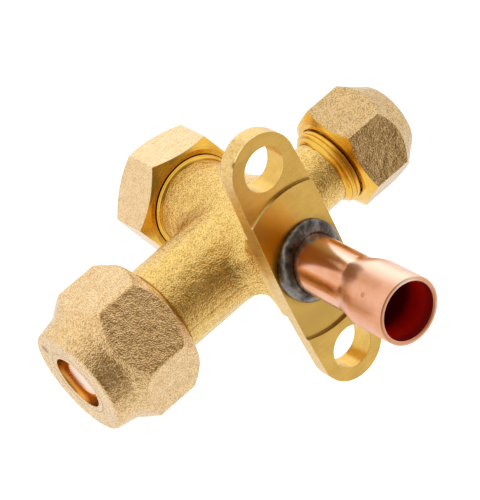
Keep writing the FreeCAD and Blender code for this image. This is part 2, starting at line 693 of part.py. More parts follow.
stem = new_piece("stem", STEM_PORT)
turned(stem, "stem_form", [
    ("0", f"{SEAT_LINE} + stem_tip / 2"),
    ("stem_tip / 2", f"{SEAT_LINE} + stem_tip / 2"),
    ("stem_cone / 2", f"{SEAT_LINE} + stem_cone / 2"),
    ("stem_cone / 2", f"{SEAT_LINE} + stem_cone / 2 + lead_chamfer"),
    ("stem_shank / 2", f"{SEAT_LINE} + stem_cone / 2 + 2 * lead_chamfer"),
    ("stem_shank / 2", THREAD_LOW),
    ("stem_thread / 2", THREAD_LOW),
    ("stem_thread / 2", f"{LAND_START} - stem_relief"),
    ("stem_thread / 2 - thread_undercut", f"{LAND_START} - stem_relief"),
    ("stem_thread / 2 - thread_undercut", LAND_START),
    ("gland_bore / 2 - running_gap", LAND_START),
    ("gland_bore / 2 - running_gap", GLAND_START),
    ("gland_groove / 2", GLAND_START),
    ("gland_groove / 2", f"{GLAND_START} + gland_groove_width"),
    ("gland_bore / 2 - running_gap", f"{GLAND_START} + gland_groove_width"),
    ("gland_bore / 2 - running_gap", LAND_END),
    ("stem_head / 2", LAND_END),
    ("stem_head / 2", f"{LAND_END} + stem_head_length"),
    ("0", f"{LAND_END} + stem_head_length"),
])
key_sketch = new_sketch(stem, "key_section", "XY_Plane", forward=f"{LAND_END} + stem_head_length")
draw_corners(key_sketch, hexagon("stem_key", "0"))
pocket(stem, "stem_key_socket", key_sketch, "stem_key_depth")

stem_o_ring = new_piece("stem_o_ring", STEM_PORT)
O_RING_HEIGHT = f"{GLAND_START} + fixed_gap + o_ring_section / 2"
turned(stem_o_ring, "o_ring", [
    (f"(gland_groove + gland_bore) / 4 + {out}", f"{O_RING_HEIGHT} + {up}")
    for out, up in polygon("o_ring_section / 2", 12, "0")
])

stem_backup_ring = new_piece("stem_backup_ring", STEM_PORT)
BACKUP_END = f"({GLAND_START} + gland_groove_width - fixed_gap)"
turned(stem_backup_ring, "backup_ring", [
    ("gland_groove / 2 + fixed_gap", f"{BACKUP_END} - backup_thickness"),
    ("gland_bore / 2 - fixed_gap", f"{BACKUP_END} - backup_thickness"),
    ("gland_bore / 2 - fixed_gap", BACKUP_END),
    ("gland_groove / 2 + fixed_gap", BACKUP_END),
])

# Snap ring in the port's groove, which stops the stem when it is fully open
stem_retaining_ring = new_piece("stem_retaining_ring", STEM_PORT)
snap_ring = turned(stem_retaining_ring, "snap_ring", [
    ("ring_bore / 2", RING_DEPTH),
    ("ring_groove / 2 - seat_gap", RING_DEPTH),
    ("ring_groove / 2 - seat_gap", f"{RING_DEPTH} + ring_thickness"),
    ("ring_bore / 2", f"{RING_DEPTH} + ring_thickness"),
])
snap_ring.setExpression("Angle", formula("360 deg - 2 * asin(ring_gap / ring_groove)"))

# Stem cap: hexagon, screwed over the stem port on a sealing washer
CAP_CORNER = "stem_cap_flats / 2 / cos(30)"
stem_cap = new_piece("stem_cap", STEM_PORT)
hexagonal(stem_cap, "stem_cap_bar", "stem_cap_flats", "stem_cap_turn", CAP_MOUTH, CAP_END)
turned(stem_cap, "stem_cap_mouth_bevel", [
    ("stem_cap_mouth_face / 2", CAP_MOUTH),
    (CAP_CORNER, f"{CAP_MOUTH} + stem_cap_bevel"),
    (f"{CAP_CORNER} + cut_margin", f"{CAP_MOUTH} + stem_cap_bevel"),
    (f"{CAP_CORNER} + cut_margin", f"{CAP_MOUTH} - cut_margin"),
    ("stem_cap_mouth_face / 2", f"{CAP_MOUTH} - cut_margin"),
], cut=True)
turned(stem_cap, "stem_cap_back_bevel", [
    ("stem_cap_end_face / 2", f"{CAP_END} + cut_margin"),
    ("stem_cap_end_face / 2", CAP_END),
    (CAP_CORNER, f"{CAP_END} - stem_cap_end_bevel"),
    (f"{CAP_CORNER} + cut_margin", f"{CAP_END} - stem_cap_end_bevel"),
    (f"{CAP_CORNER} + cut_margin", f"{CAP_END} + cut_margin"),
], cut=True)
turned(stem_cap, "stem_cap_bore", [
    ("0", f"{CAP_MOUTH} - cut_margin"),
    ("stem_port_thread / 2 + running_gap + stem_mouth_relief", f"{CAP_MOUTH} - cut_margin"),
    ("stem_port_thread / 2 + running_gap + stem_mouth_relief", f"{CAP_MOUTH} + mouth_relief_depth"),
    ("stem_port_thread / 2 + running_gap", f"{CAP_MOUTH} + mouth_relief_depth + stem_mouth_relief"),
    ("stem_port_thread / 2 + running_gap", CAP_FLOOR),
    ("0", CAP_FLOOR),
], cut=True)

stem_cap_washer = new_piece("stem_cap_washer", STEM_PORT)
WASHER_LOW = f"({STEM_PORT_END} + seat_gap)"
turned(stem_cap_washer, "washer", [
    ("washer_bore / 2", WASHER_LOW),
    ("washer_diameter / 2", WASHER_LOW),
    ("washer_diameter / 2", f"{WASHER_LOW} + washer_thickness"),
    ("washer_bore / 2", f"{WASHER_LOW} + washer_thickness"),
])

# Service cap: smaller hexagon with a domed end, screwed over the service port on a gasket
SERVICE_CORNER = "service_cap_flats / 2 / cos(30)"
service_cap = new_piece("service_cap", SERVICE_PORT, "-port_depth")
hexagonal(service_cap, "service_cap_bar", "service_cap_flats", "-service_cap_turn",
          SERVICE_MOUTH, SERVICE_CAP_END)
turned(service_cap, "service_cap_mouth_bevel", [
    ("service_cap_mouth_face / 2", SERVICE_MOUTH),
    (SERVICE_CORNER, f"{SERVICE_MOUTH} + service_cap_bevel"),
    (f"{SERVICE_CORNER} + cut_margin", f"{SERVICE_MOUTH} + service_cap_bevel"),
    (f"{SERVICE_CORNER} + cut_margin", f"{SERVICE_MOUTH} - cut_margin"),
    ("service_cap_mouth_face / 2", f"{SERVICE_MOUTH} - cut_margin"),
], cut=True)
turned(service_cap, "service_cap_dome_form", [
    ("service_cap_end_face / 2", f"{SERVICE_CAP_END} + cut_margin"),
    ("service_cap_end_face / 2", SERVICE_CAP_END),
    ("service_cap_dome / 2", SERVICE_DOME_START),
    (SERVICE_CORNER, SERVICE_SHOULDER),
    (f"{SERVICE_CORNER} + cut_margin", SERVICE_SHOULDER),
    (f"{SERVICE_CORNER} + cut_margin", f"{SERVICE_CAP_END} + cut_margin"),
], cut=True)
rounded(service_cap, "service_dome_blend", "service_dome_round", lambda edge: (
    is_ring(edge, dims.service_cap_end_face) or is_ring(edge, dims.service_cap_dome)
))
turned(service_cap, "service_cap_bore", [
    ("0", f"{SERVICE_MOUTH} - cut_margin"),
    ("service_thread / 2 + running_gap + service_mouth_relief", f"{SERVICE_MOUTH} - cut_margin"),
    ("service_thread / 2 + running_gap + service_mouth_relief", f"{SERVICE_MOUTH} + service_relief_depth"),
    ("service_thread / 2 + running_gap", f"{SERVICE_MOUTH} + service_relief_depth + service_mouth_relief"),
    ("service_thread / 2 + running_gap", f"{SERVICE_PORT_END} - lead_chamfer + 2 * seat_gap"),
    ("gasket_diameter / 2 + seat_gap", SERVICE_PORT_END),
    ("gasket_diameter / 2 + seat_gap", SERVICE_FLOOR),
    ("0", SERVICE_FLOOR),
], cut=True)

service_cap_gasket = new_piece("service_cap_gasket", SERVICE_PORT, "-port_depth")
GASKET_LOW = f"({SERVICE_PORT_END} + seat_gap)"
turned(service_cap_gasket, "gasket", [
    ("0", GASKET_LOW),
    ("gasket_diameter / 2", GASKET_LOW),
    ("gasket_diameter / 2", f"{GASKET_LOW} + gasket_thickness"),
    ("0", f"{GASKET_LOW} + gasket_thickness"),
])

# Valve core in the service port: threaded plug, barrel and gasket stay, the sprung pin moves
BARREL_TOP = f"({CORE_THREAD_START} + 8 * seat_gap)"
BARREL_FLOOR = f"({CORE_BARREL_START} + lead_chamfer * 1.5)"
SPRING_TOP = f"({CORE_THREAD_START} - core_spring_depth)"

core_plug = new_piece("core_plug", SERVICE_PORT, "-port_depth")
turned(core_plug, "plug_form", [
    ("core_plug_hole / 2", f"{BARREL_TOP} + fixed_gap"),
    ("core_thread / 2", f"{BARREL_TOP} + fixed_gap"),
    ("core_thread / 2", f"{BARREL_TOP} + core_plug_length"),
    ("core_plug_hole / 2", f"{BARREL_TOP} + core_plug_length"),
])
slot_sketch = new_sketch(core_plug, "slot_section", "XY_Plane", forward=f"{BARREL_TOP} + core_plug_length")
draw_corners(slot_sketch, [
    ("-core_thread", "-core_slot / 2"),
    ("core_thread", "-core_slot / 2"),
    ("core_thread", "core_slot / 2"),
    ("-core_thread", "core_slot / 2"),
])
pocket(core_plug, "driver_slot", slot_sketch, "core_plug_length / 2")

core_barrel = new_piece("core_barrel", SERVICE_PORT, "-port_depth")
turned(core_barrel, "barrel_form", [
    ("core_pin / 2 + running_gap", CORE_BARREL_START),
    ("core_barrel / 2 - lead_chamfer / 2", CORE_BARREL_START),
    ("core_barrel / 2", f"{CORE_BARREL_START} + lead_chamfer / 2"),
    ("core_barrel / 2", f"{CORE_THREAD_START} + seat_gap"),
    ("core_thread / 2 - 3 * seat_gap", f"{CORE_THREAD_START} + seat_gap"),
    ("core_thread / 2 - 3 * seat_gap", BARREL_TOP),
    ("core_barrel_bore / 2", BARREL_TOP),
    ("core_barrel_bore / 2", BARREL_FLOOR),
    ("core_pin / 2 + running_gap", BARREL_FLOOR),
])

core_gasket = new_piece("core_gasket", SERVICE_PORT, "-port_depth")
turned(core_gasket, "core_gasket_form", [
    ("core_barrel / 2 + fixed_gap", f"{CORE_THREAD_START} - core_gasket_width"),
    ("core_bore / 2 - seat_gap", f"{CORE_THREAD_START} - core_gasket_width"),
    ("core_thread / 2 - 2 * seat_gap", CORE_THREAD_START),
    ("core_barrel / 2 + fixed_gap", CORE_THREAD_START),
])

CUP_TOP = f"({CORE_BARREL_START} - seat_gap - core_seal_thickness)"
core_pin = new_piece("core_pin", SERVICE_PORT, "-port_depth")
turned(core_pin, "pin_form", [
    ("0", f"{CUP_TOP} - core_cup_depth / 2"),
    ("core_pin / 2", f"{CUP_TOP} - core_cup_depth / 2"),
    ("core_pin / 2", SPRING_TOP),
    ("core_pin_collar / 2", SPRING_TOP),
    ("core_pin_collar / 2", f"{SPRING_TOP} + core_pin / 3"),
    ("core_pin / 2", f"{SPRING_TOP} + core_pin / 3"),
    ("core_pin / 2", f"{CORE_PIN_END} - core_pin / 2"),
    ("core_pin_head / 2", f"{CORE_PIN_END} - core_pin / 2"),
    ("core_pin_head / 2", CORE_PIN_END),
    ("0", CORE_PIN_END),
])

core_cup = new_piece("core_cup", SERVICE_PORT, "-port_depth")
turned(core_cup, "cup_form", [
    ("0", f"{CUP_TOP} - core_cup_depth"),
    ("core_cup / 2", f"{CUP_TOP} - core_cup_depth"),
    ("core_cup / 2", CUP_TOP),
    ("core_pin / 2 + fixed_gap", CUP_TOP),
    ("core_pin / 2 + fixed_gap", f"{CUP_TOP} - core_cup_depth / 2 - fixed_gap"),
    ("0", f"{CUP_TOP} - core_cup_depth / 2 - fixed_gap"),
])

core_seal = new_piece("core_seal", SERVICE_PORT, "-port_depth")
turned(core_seal, "core_seal_form", [
    ("core_pin / 2 + fixed_gap", f"{CUP_TOP} + fixed_gap"),
    ("core_cup / 2 - fixed_gap", f"{CUP_TOP} + fixed_gap"),
    ("core_cup / 2 - fixed_gap", f"{CUP_TOP} + core_seal_thickness"),
    ("core_pin / 2 + fixed_gap", f"{CUP_TOP} + core_seal_thickness"),
])

core_spring = new_piece("core_spring", SERVICE_PORT, "-port_depth")
SPRING_LOW = f"({BARREL_FLOOR} + spring_wire / 2 + fixed_gap)"
wire_sketch = new_sketch(core_spring, "wire_round", upward=SPRING_LOW)
SPRING_PATH = "(core_pin + core_barrel_bore) / 4"
draw_corners(wire_sketch, [(f"{SPRING_PATH} + {across}", up) for across, up in hexagon("spring_wire", "0")])
coil = core_spring.newObject("PartDesign::AdditiveHelix", "spring_coil")
coil.Profile = wire_sketch
coil.ReferenceAxis = (wire_sketch, ["V_Axis"])
coil.Mode = "height-turns-growth"
coil.setExpression("Turns", formula("spring_turns"))
coil.setExpression("Height", formula(f"{SPRING_TOP} - fixed_gap - spring_wire / 2 - {SPRING_LOW}"))

doc.recompute()
for item in doc.Objects:
    if "Invalid" in item.State or "Error" in item.State:
        raise RuntimeError(f"{item.Name} failed: {item.State}")
    if item.TypeId in ("PartDesign::Groove", "PartDesign::Pocket"):
        if item.Shape.Volume >= item.BaseFeature.Shape.Volume:
            raise RuntimeError(f"{item.Name} cuts nothing")

bodies = [item for item in doc.Objects if item.TypeId == "PartDesign::Body"]
pieces = [body for body in bodies if body is not flange]
for body in pieces:
    if body.Shape.isNull() or not body.Shape.isValid() or len(body.Shape.Solids) != 1:
        raise RuntimeError(f"{body.Label} is not one valid solid")
for body in pieces:
    body.Shape.exportStep(f"parts/{body.Label}.step")
    print(f"{body.Label}: {body.Shape.Volume:.1f} mm3")
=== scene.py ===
from math import cos, hypot, pi, radians, sin

import bpy
from mathutils import Matrix, Vector


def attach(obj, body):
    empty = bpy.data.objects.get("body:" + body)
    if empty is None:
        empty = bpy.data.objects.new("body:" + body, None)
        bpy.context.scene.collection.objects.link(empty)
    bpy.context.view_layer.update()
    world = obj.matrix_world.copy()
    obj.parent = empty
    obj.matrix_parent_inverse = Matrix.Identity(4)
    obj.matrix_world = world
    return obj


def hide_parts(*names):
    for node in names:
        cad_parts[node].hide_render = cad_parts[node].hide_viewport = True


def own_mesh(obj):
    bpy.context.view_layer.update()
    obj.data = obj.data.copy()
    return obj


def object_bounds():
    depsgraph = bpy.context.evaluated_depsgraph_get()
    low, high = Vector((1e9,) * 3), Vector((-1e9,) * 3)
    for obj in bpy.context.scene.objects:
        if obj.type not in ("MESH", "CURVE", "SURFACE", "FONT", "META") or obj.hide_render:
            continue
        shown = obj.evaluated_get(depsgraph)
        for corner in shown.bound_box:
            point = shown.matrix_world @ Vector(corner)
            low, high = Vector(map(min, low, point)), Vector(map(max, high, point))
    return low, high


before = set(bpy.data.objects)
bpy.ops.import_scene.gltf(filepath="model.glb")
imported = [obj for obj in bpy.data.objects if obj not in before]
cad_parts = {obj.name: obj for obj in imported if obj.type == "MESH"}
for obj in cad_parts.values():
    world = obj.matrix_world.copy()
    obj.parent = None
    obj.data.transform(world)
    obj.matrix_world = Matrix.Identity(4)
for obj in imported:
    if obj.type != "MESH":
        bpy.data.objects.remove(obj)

cad_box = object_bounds()

# Valve body: one hot brass forging, blasted all over, so its skin is a fine gold grain.
# The flange's face, the lug holes, the collars and the ports are turned bright afterwards,
# and the flange's edge is smooth where the flash was sheared off.
MM = 1000
# Places are in millimetres from the middle of the flange's face, where the tube comes out along +Y.
PORT_DEPTH = 14.7
LUG_HEIGHT = 19.25
LUG_HOLE = 3.85
UPPER_FACE = -0.5
STEP_FOOT = -1.4
STEP_LOW, STEP_HIGH = 7, 14
EDGE_FOOT, EDGE_REACH = -5.5, 9
FLANGE_BACK = -6
FLANK, FLANK_FOOT = 6.2, -9
HUB_TOP, HUB_SIDE, HUB_HEIGHT = -4, 5, 12
TUBE_SOCKET = 6
WAY_RADIUS, WAY_START, WAY_END = 4, 5.5, 28
PARTING_HEIGHT = -0.6
EDGE_BURR = (4.3, -0.6, 23.6)
TARNISH_AND_REFLECTION_REACH, SMOKE_REACH = (6.5, 19.0), (6.6, 8.2)
DULL_HEIGHT, DULL_REACH = -10, 6
HUB_BLEND, HUB_FADE = (-4.2, -3.2), (8, 11)
# Each collar's inner and outer place along its port, foot and top radius, and width of a bead.
SERVICE_COLLAR = (-15.5, -17.92, 5.6, 6.7, 0.8)
STEM_COLLAR = (-29.3, -30.31, 7.6, 8.1, 0.5)
COLLAR_EDGE = 0.05
COLLAR_SUNK = 0.3
BEAD_LIFT = 0.005
BEAD_HEIGHT = 0.13
BEAD_ROWS = 37
# Where each port's bright neck starts, where its thread runs, the thread's root and its pitch.
FLARE_NECK, FLARE_THREAD, FLARE_ROOT, FLARE_PITCH = 20.85, (22.3, 31), 7.8, 1.411
SERVICE_NECK, SERVICE_THREAD, SERVICE_ROOT, SERVICE_PITCH = -18, -18.5, 6.2, 1.27
STEM_NECK, STEM_THREAD, STEM_ROOT, STEM_PITCH = -30.9, -31.3, 7.9, 1.0
RING_STEPS = 144
SHARP_ANGLE = 0.9
GRAIN = 0.25
FORGED_GOLD = (0.94, 0.65, 0.22)
GRAIN_DEEP = (0.60, 0.36, 0.08)
FORGED_DEEP = (0.66, 0.40, 0.09)
TURNED_GOLD = (0.84, 0.54, 0.14)
COLLAR_GOLD = (0.88, 0.56, 0.10)
COLLAR_DEEP = (0.80, 0.44, 0.05)
BEAD_SHADE = (0.50, 0.27, 0.04)
FACE_GOLD = (0.88, 0.58, 0.15)
FACE_DEEP = (0.72, 0.45, 0.11)
FACE_DULL = (0.62, 0.40, 0.10)
TARNISH_AND_REFLECTION_BROWN = (1.0, 0.48, 0.01)
HIGHLIGHT_PALE = (1.0, 0.82, 0.36)
STEP_SHADE = (0.36, 0.24, 0.08)
EDGE_PALE = (0.87, 0.63, 0.27)
SMOKE_AND_SHADE_BROWN = (0.30, 0.17, 0.05)


class Shade:
    """A number, colour or vector that changes over a surface, ready for plain arithmetic."""

    def __init__(self, socket):
        self.socket = socket

    def node(self, kind, settings, sockets, output=0):
        """The output of a new node, whose settings are made first and then its sockets."""
        made = self.socket.id_data.nodes.new("ShaderNode" + kind)
        for name, setting in settings.items():
            setattr(made, name, setting)
        for key, value in sockets.items():
            if isinstance(value, Shade):
                made.id_data.links.new(value.socket, made.inputs[key])
            else:
                made.inputs[key].default_value = value
        return Shade(made.outputs[output])

    def maths(self, operation, *others):
        return self.node("Math", {"operation": operation}, dict(enumerate((self, *others))))

    def __add__(self, other):
        return self.maths("ADD", other)

    def __sub__(self, other):
        return self.maths("SUBTRACT", other)

    def __rsub__(self, other):
        return self.maths("MULTIPLY_ADD", -1, other)

    def __mul__(self, other):
        return self.maths("MULTIPLY", other)

    def __truediv__(self, other):
        return self.maths("DIVIDE", other)

    __radd__ = __add__
    __rmul__ = __mul__

    def smooth(self, low, high):
        """0 below the one value and 1 above the other, with a soft step between them."""
        return self.node("MapRange", {"interpolation_type": "SMOOTHSTEP"},
                         {0: self, 1: low, 2: high, 3: 0.0, 4: 1.0})

    def near(self, middle, width):
        """1 at one value, fading to 0 at this distance on both sides of it."""
        return 1 - (self - middle).maths("ABSOLUTE").smooth(0, width)

    def between(self, first, second):
        """A colour that goes from the first to the second with this number."""
        first, second = (c if isinstance(c, Shade) else (*c, 1) for c in (first, second))
        return self.node("Mix", {"data_type": "RGBA"}, {0: self, 6: first, 7: second}, output=2)


class Finish:
    """The surface of a material; places on it are in millimetres from the valve's origin."""

    def __init__(self, name, **fixed):
        self.material = bpy.data.materials.new(name)
        self.material.use_nodes = True
        self.shader = self.material.node_tree.nodes["Principled BSDF"]
        for socket, value in fixed.items():
            self.shader.inputs[socket.replace("_", " ")].default_value = value
        spot = Shade(self.material.node_tree.nodes.new("ShaderNodeTexCoord").outputs["Object"])
        self.place = spot.node("VectorMath", {"operation": "SCALE"}, {0: spot, "Scale": MM})
        self.x, self.y, self.z = (
            self.place.node("SeparateXYZ", {}, {0: self.place}, axis) for axis in range(3))

    def noise(self, size, detail=2.0, stretch=(1, 1, 1)):
        """Cloudy noise from 0 to 1 with patches of about this many millimetres."""
        place = self.place.node("VectorMath", {"operation": "MULTIPLY"}, {0: self.place, 1: stretch})
        return self.place.node("TexNoise", {}, {"Vector": place, "Scale": 1 / size, "Detail": detail})

    def grains(self, size):
        """Grains about this many millimetres wide, side by side: 1 on each top, 0 between them."""
        cells = self.place.node(
            "TexVoronoi", {"feature": "F1"}, {"Vector": self.place, "Scale": 1 / size})
        return 1 - cells

    def distance(self, spot):
        """Distance from a place on the valve."""
        return self.place.node(
            "VectorMath", {"operation": "DISTANCE"}, {0: self.place, 1: spot}, output="Value")

    def from_axis(self, first, second):
        """Distance from an axis that runs where both values are 0."""
        return (first * first + second * second).maths("SQRT")

    def wear(self, radius):
        """The surface's normal with its corners worn round by this many millimetres."""
        return self.place.node("Bevel", {"samples": 4}, {"Radius": radius / MM})

    def bumps(self, height, depth, base):
        """A normal with bumps of this height, 0 to 1, that are so many millimetres deep."""
        return self.place.node("Bump", {}, {"Height": height, "Distance": depth / MM, "Normal": base})

    def set(self, **varying):
        """Joins what varies to the shader's own sockets."""
        for socket, value in varying.items():
            self.material.node_tree.links.new(
                value.socket, self.shader.inputs[socket.replace("_", " ")])
        return self.material


def blasted(name, pale, deep, depth, pressed=None):
    """Forged brass after blasting: a tight sparkling grain, duller in the hollows.

    What is pressed into it goes from 0 on the skin to 1 in its deepest place, which gets the most
    painted shade.
    """
    finish = Finish(name, Metallic=1.0, Coat_Weight=0.1, Coat_Roughness=0.35)
    grains = finish.grains(GRAIN)
    grit = finish.noise(GRAIN * 0.8)
    swell = finish.noise(GRAIN * 6)
    tint = (grains * 0.3 + grit * 0.5 + swell * 0.2).smooth(0.36, 0.58).between(deep, pale)
    normal = finish.bumps(swell, depth * 2.5, finish.wear(0.3))
    if pressed:
        mark = pressed(finish)
        # Pressed marks are darkened by their depth: painted shade in the dent.
        tint = (mark * 0.8).between(tint, SMOKE_AND_SHADE_BROWN)
        normal = finish.bumps(1 - mark, 0.3, normal)
    return finish.set(
        Base_Color=tint,
        Roughness=0.31 - grit * 0.14,
        Normal=finish.bumps(grains * 0.5 + grit, depth, normal))


def turned(name, pale, deep, axis, pitch=0.0, rings=0.12, collar=None):
    """Turned brass: tool rings about the ports' line, x, or the stem's, y.

    It may have the ridge of a thread of this pitch, or painted shade in the grooves between a collar's
    beads.
    """
    finish = Finish(name, Metallic=1.0, Coat_Weight=0.05, Coat_Roughness=0.2)
    along, off = (finish.x, finish.y + PORT_DEPTH) if axis == "x" else (finish.y, finish.x)
    reach = along + finish.from_axis(off, finish.z)
    tool = reach.node(
        "TexNoise", {"noise_dimensions": "1D"}, {"W": reach, "Scale": 1 / rings, "Detail": 2.0})
    smear = finish.noise(1.4, detail=3.0)
    tint = (tool * 0.4 + smear * 0.6).smooth(0.25, 0.75).between(deep, pale)
    normal = finish.bumps(tool, 0.004, finish.wear(0.1))
    if pitch:
        turn = finish.z.maths("ARCTAN2", off)
        ridge = (along / pitch - turn / (2 * pi)).maths("PINGPONG", 0.5)
        normal = finish.bumps(ridge * 2, pitch * 0.55, normal)
    if collar:
        inner, *_, width = collar
        # Painted shade in the grooves between the beads.
        bead = ((along - inner) * (pi / width)).maths("SINE").maths("ABSOLUTE")
        tint = bead.smooth(0.05, 0.4).between(BEAD_SHADE, tint)
    return finish.set(Base_Color=tint, Roughness=0.18 + smear * 0.12, Normal=normal)


def milled(name):
    """The flange's face: faint straight tool lines, soft clouds, and a brown tint by the braze that is
    partly tarnish from brazing and partly a painted reflection of the copper tube, on one side only.
    """
    finish = Finish(name, Metallic=1.0, Coat_Weight=0.05, Coat_Roughness=0.3)
    off = finish.from_axis(finish.x, finish.z)
    lines = finish.noise(0.6, detail=3.0, stretch=(0.06, 1, 1))
    cloud = finish.noise(3.0, detail=3.0)
    fine = finish.noise(0.3)
    # The brown by the braze: tarnish from brazing, plus a painted reflection of the copper tube on one
    # side.
    side = finish.x.smooth(-3.0, 4.5) * finish.z.smooth(-3.0, 4.0)
    tarnish_and_reflection = (1 - off.smooth(*TARNISH_AND_REFLECTION_REACH)) * (0.2 + cloud * 1.4) * side
    smoke = (1 - off.smooth(*SMOKE_REACH)) * cloud.smooth(0.3, 0.6)
    metal = (lines * 0.2 + cloud * 0.5 + fine * 0.3).smooth(0.3, 0.7).between(FACE_DEEP, FACE_GOLD)
    metal = (finish.z.near(DULL_HEIGHT, DULL_REACH) * 0.8).between(metal, FACE_DULL)
    metal = tarnish_and_reflection.maths("MINIMUM", 1.0).between(metal, TARNISH_AND_REFLECTION_BROWN)
    return finish.set(
        Base_Color=(smoke * 0.55).between(metal, SMOKE_AND_SHADE_BROWN),
        Roughness=0.28 + fine * 0.1,
        Normal=finish.bumps(lines * 0.5 + fine, 0.006, finish.wear(0.12)))


def stepped(name):
    """The low walls between the flange's three levels: a painted highlight on one side, painted shade
    on the other.
    """
    finish = Finish(name, Roughness=0.3)
    # Painted highlight on one side of the step walls, painted shade on the other.
    bright = finish.x.smooth(0.0, 2.5) * finish.z.smooth(-1.0, 1.0)
    return finish.set(
        Base_Color=bright.between(STEP_SHADE, HIGHLIGHT_PALE),
        Metallic=1 - bright * 0.7,
        Normal=finish.wear(0.08))


def sheared(name):
    """The flange's edge: smooth and slightly wavy, with a faint grain that is rougher on the hub, a
    painted highlight along the upper lug's chamfer and painted shade at a small burr.
    """
    finish = Finish(name, Metallic=1.0, Coat_Weight=0.2, Coat_Roughness=0.35)
    drag = finish.noise(0.8, detail=3.0, stretch=(1, 0.25, 1))
    fine = finish.grains(0.3)
    hub = (1 - finish.y.smooth(*HUB_BLEND)) * (1 - finish.z.maths("ABSOLUTE").smooth(*HUB_FADE))
    # Painted highlight along the upper lug's chamfer.
    chamfer_highlight = finish.y.near(UPPER_FACE - 0.1, 0.4) * finish.z.smooth(23.7, 24.1) * finish.x.smooth(1, 2.2)
    # Painted shade at a small burr on the upper lug's edge.
    burr_shade = 1 - finish.distance(EDGE_BURR).smooth(0.2, 0.8)
    tint = (drag * 0.5 + fine * 0.5).smooth(0.2, 0.7).between(FORGED_DEEP, EDGE_PALE)
    tint = hub.between(tint, FORGED_GOLD)
    tint = chamfer_highlight.between(tint, HIGHLIGHT_PALE)
    normal = finish.bumps(drag, 0.03, finish.wear(0.3))
    return finish.set(
        Base_Color=burr_shade.between(tint, SMOKE_AND_SHADE_BROWN),
        Roughness=0.30 + drag * 0.16,
        Normal=finish.bumps(fine * (hub * 0.8 + 0.2), 0.1, normal))


def parting_line(finish):
    """Faint groove where the two halves of the forging die met, round the neck and the hub; its
    darkening is painted shade along the crease.
    """
    return finish.z.near(PARTING_HEIGHT, 0.35) * finish.x.smooth(3.0, 6.0) * 0.2


def dress(node, finishes, place=None):
    """Gives each face of a node the finish of its place, by its middle and its outward normal."""
    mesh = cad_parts[node].data
    mesh.materials.clear()
    for finish in finishes.values():
        mesh.materials.append(finish)
    if place:
        places = list(finishes)
        for face in mesh.polygons:
            face.material_index = places.index(place(face.center * MM, face.normal))


def off_port(spot):
    """Distance of a place from the line of the two side ports."""
    return hypot(spot.y + PORT_DEPTH, spot.z)


def faces_port(spot, normal):
    """Whether a face looks at the line of the two side ports, as the walls of a bore do."""
    return normal.y * (spot.y + PORT_DEPTH) + normal.z * spot.z < -0.3 * off_port(spot)


def off_stem(spot):
    """Distance of a place from the line of the stem and the tube."""
    return hypot(spot.x, spot.z)


def faces_stem(spot, normal):
    """Whether a face looks at the line of the stem and the tube."""
    return normal.x * spot.x + normal.z * spot.z < -0.3 * off_stem(spot)


def body_place(spot, normal):
    """The place on the body where a face lies, from the flange's face down to the ports."""
    across, height = abs(spot.x), abs(spot.z)
    upright, round_port = abs(normal.y) < 0.35, abs(normal.x) < 0.2
    on_hub = spot.y < HUB_TOP and across > HUB_SIDE and height < HUB_HEIGHT
    if spot.y > UPPER_FACE - 0.1 and normal.y > 0.9:
        return "face"
    if hypot(across, height - LUG_HEIGHT) < LUG_HOLE and spot.y > FLANGE_BACK:
        return "turned"
    if spot.y > STEP_FOOT and upright and abs(normal.z) > 0.6 and STEP_LOW < height < STEP_HIGH:
        return "step"
    if spot.y > FLANK_FOOT and across > FLANK and abs(normal.x) > 0.97 and height < STEP_HIGH:
        return "edge"
    if spot.y > EDGE_FOOT and upright and not on_hub and not faces_stem(spot, normal):
        return "edge" if off_stem(spot) > EDGE_REACH or across > HUB_SIDE else "turned"
    if off_stem(spot) < TUBE_SOCKET and faces_stem(spot, normal):
        return "turned"
    if off_port(spot) < WAY_RADIUS:
        if across > WAY_START and faces_port(spot, normal) or across > WAY_END:
            return "turned"
    if spot.y < STEM_COLLAR[0] + COLLAR_EDGE:
        if spot.y > STEM_NECK:
            return "stem_collar"
        thread = spot.y < STEM_THREAD and upright and off_stem(spot) > STEM_ROOT
        return "stem_thread" if thread else "turned"
    if spot.x > FLARE_NECK:
        start, end = FLARE_THREAD
        thread = start < spot.x < end and round_port and off_port(spot) > FLARE_ROOT
        return "flare_thread" if thread else "turned"
    if spot.x < SERVICE_COLLAR[0] + COLLAR_EDGE:
        if spot.x > SERVICE_NECK:
            return "service_collar"
        thread = spot.x < SERVICE_THREAD and round_port and off_port(spot) > SERVICE_ROOT
        return "service_thread" if thread else "turned"
    return "skin"


def smooth_mesh(name, points, faces):
    """A mesh with smooth faces, whose sharp corners stay sharp."""
    mesh = bpy.data.meshes.new(name)
    mesh.from_pydata(points, [], faces)
    mesh.shade_smooth()
    mesh.set_sharp_from_angle(angle=SHARP_ANGLE)
    return mesh


def ring_skin(name, rows, steps, spot, on_ports=False):
    """A closed smooth skin round the tube's axis or the ports' line.

    spot(row, turn) gives a radius and a place along that line, which grows along the outer side.
    """
    points, faces = [], []
    for step in range(steps):
        turn = 2 * pi * step / steps
        here, there = step * rows, (step + 1) % steps * rows
        for row in range(rows):
            radius, along = spot(row, turn)
            a, b = radius * cos(turn), radius * sin(turn)
            points.append(Vector((along, b - PORT_DEPTH, a) if on_ports else (a, along, b)) / MM)
            after = (row + 1) % rows
            faces.append((here + row, here + after, there + after, there + row))
    return smooth_mesh(name, points, faces)


def add_piece(name, mesh, *finishes):
    """Puts a mesh in the scene with its finishes."""
    piece = bpy.data.objects.new(name, mesh)
    bpy.context.scene.collection.objects.link(piece)
    for finish in finishes:
        mesh.materials.append(finish)
    return piece


